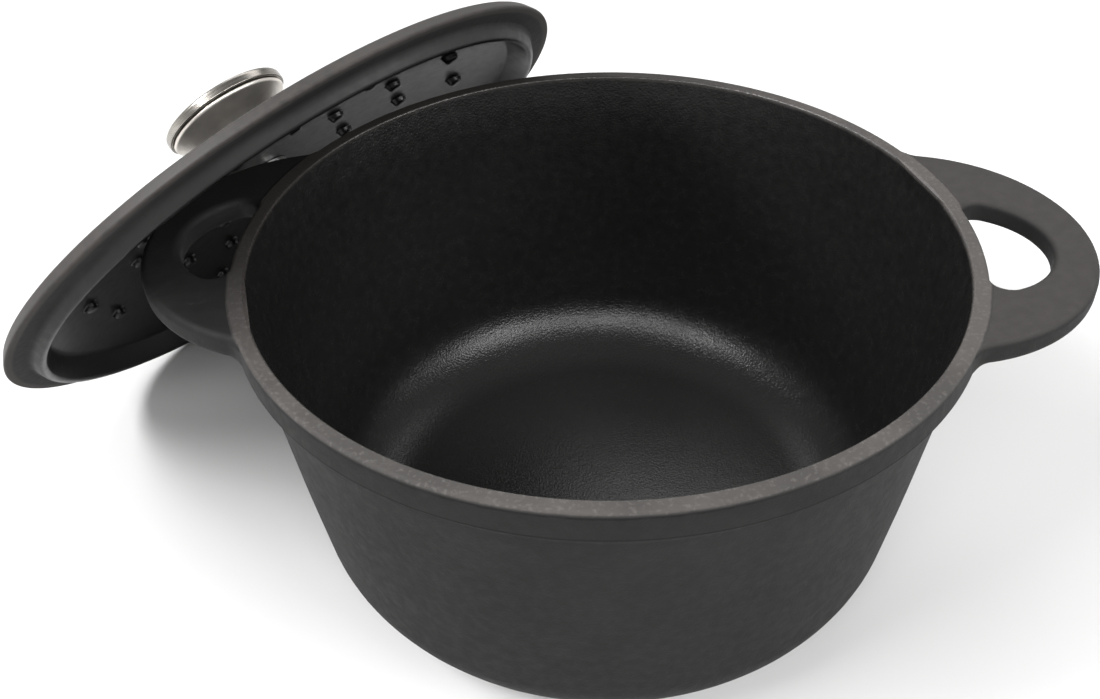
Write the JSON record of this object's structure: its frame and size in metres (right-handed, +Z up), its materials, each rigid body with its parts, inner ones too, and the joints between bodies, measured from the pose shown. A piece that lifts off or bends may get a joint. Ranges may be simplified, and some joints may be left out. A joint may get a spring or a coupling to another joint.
{
  "type": "cast iron casserole",
  "caption": "Round cast iron cooking pot with two loop handles, its knobbed lid taken off and leant on one handle.",
  "frame": {"origin": "centre of the pot's flat base, on the table", "axes": "+Z up along the pot's axis; X through both loop handles, with the leaning lid towards -X and +Y; +Y away from the camera"},
  "size_m": [0.4042, 0.3139, 0.2006],
  "materials": {
    "cast_iron_pot": "black cast surface with a satin sheen",
    "cast_iron_lid": "black cast surface, glossier underneath",
    "knob_brushed_steel": "spun and brushed",
    "knob_steel": "spun, with a bright rolled edge",
    "zinc_plated_steel": "zinc plated"
  },
  "bodies": {
    "pot_body": {"pot": "cast_iron_pot"},
    "lid_body": {"lid": "cast_iron_lid", "knob_skirt": "knob_brushed_steel", "knob_cap": "knob_steel", "knob_boss": "zinc_plated_steel", "lid_screw": "zinc_plated_steel", "screw_washer": "zinc_plated_steel"}
  },
  "joints": [
    {"name": "lid_lift", "type": "slide", "parent": "pot_body", "child": "lid_body", "axis": [-0.5807, 0.5048, 0.6388], "range_m": [0, 0.15]}
  ]
}
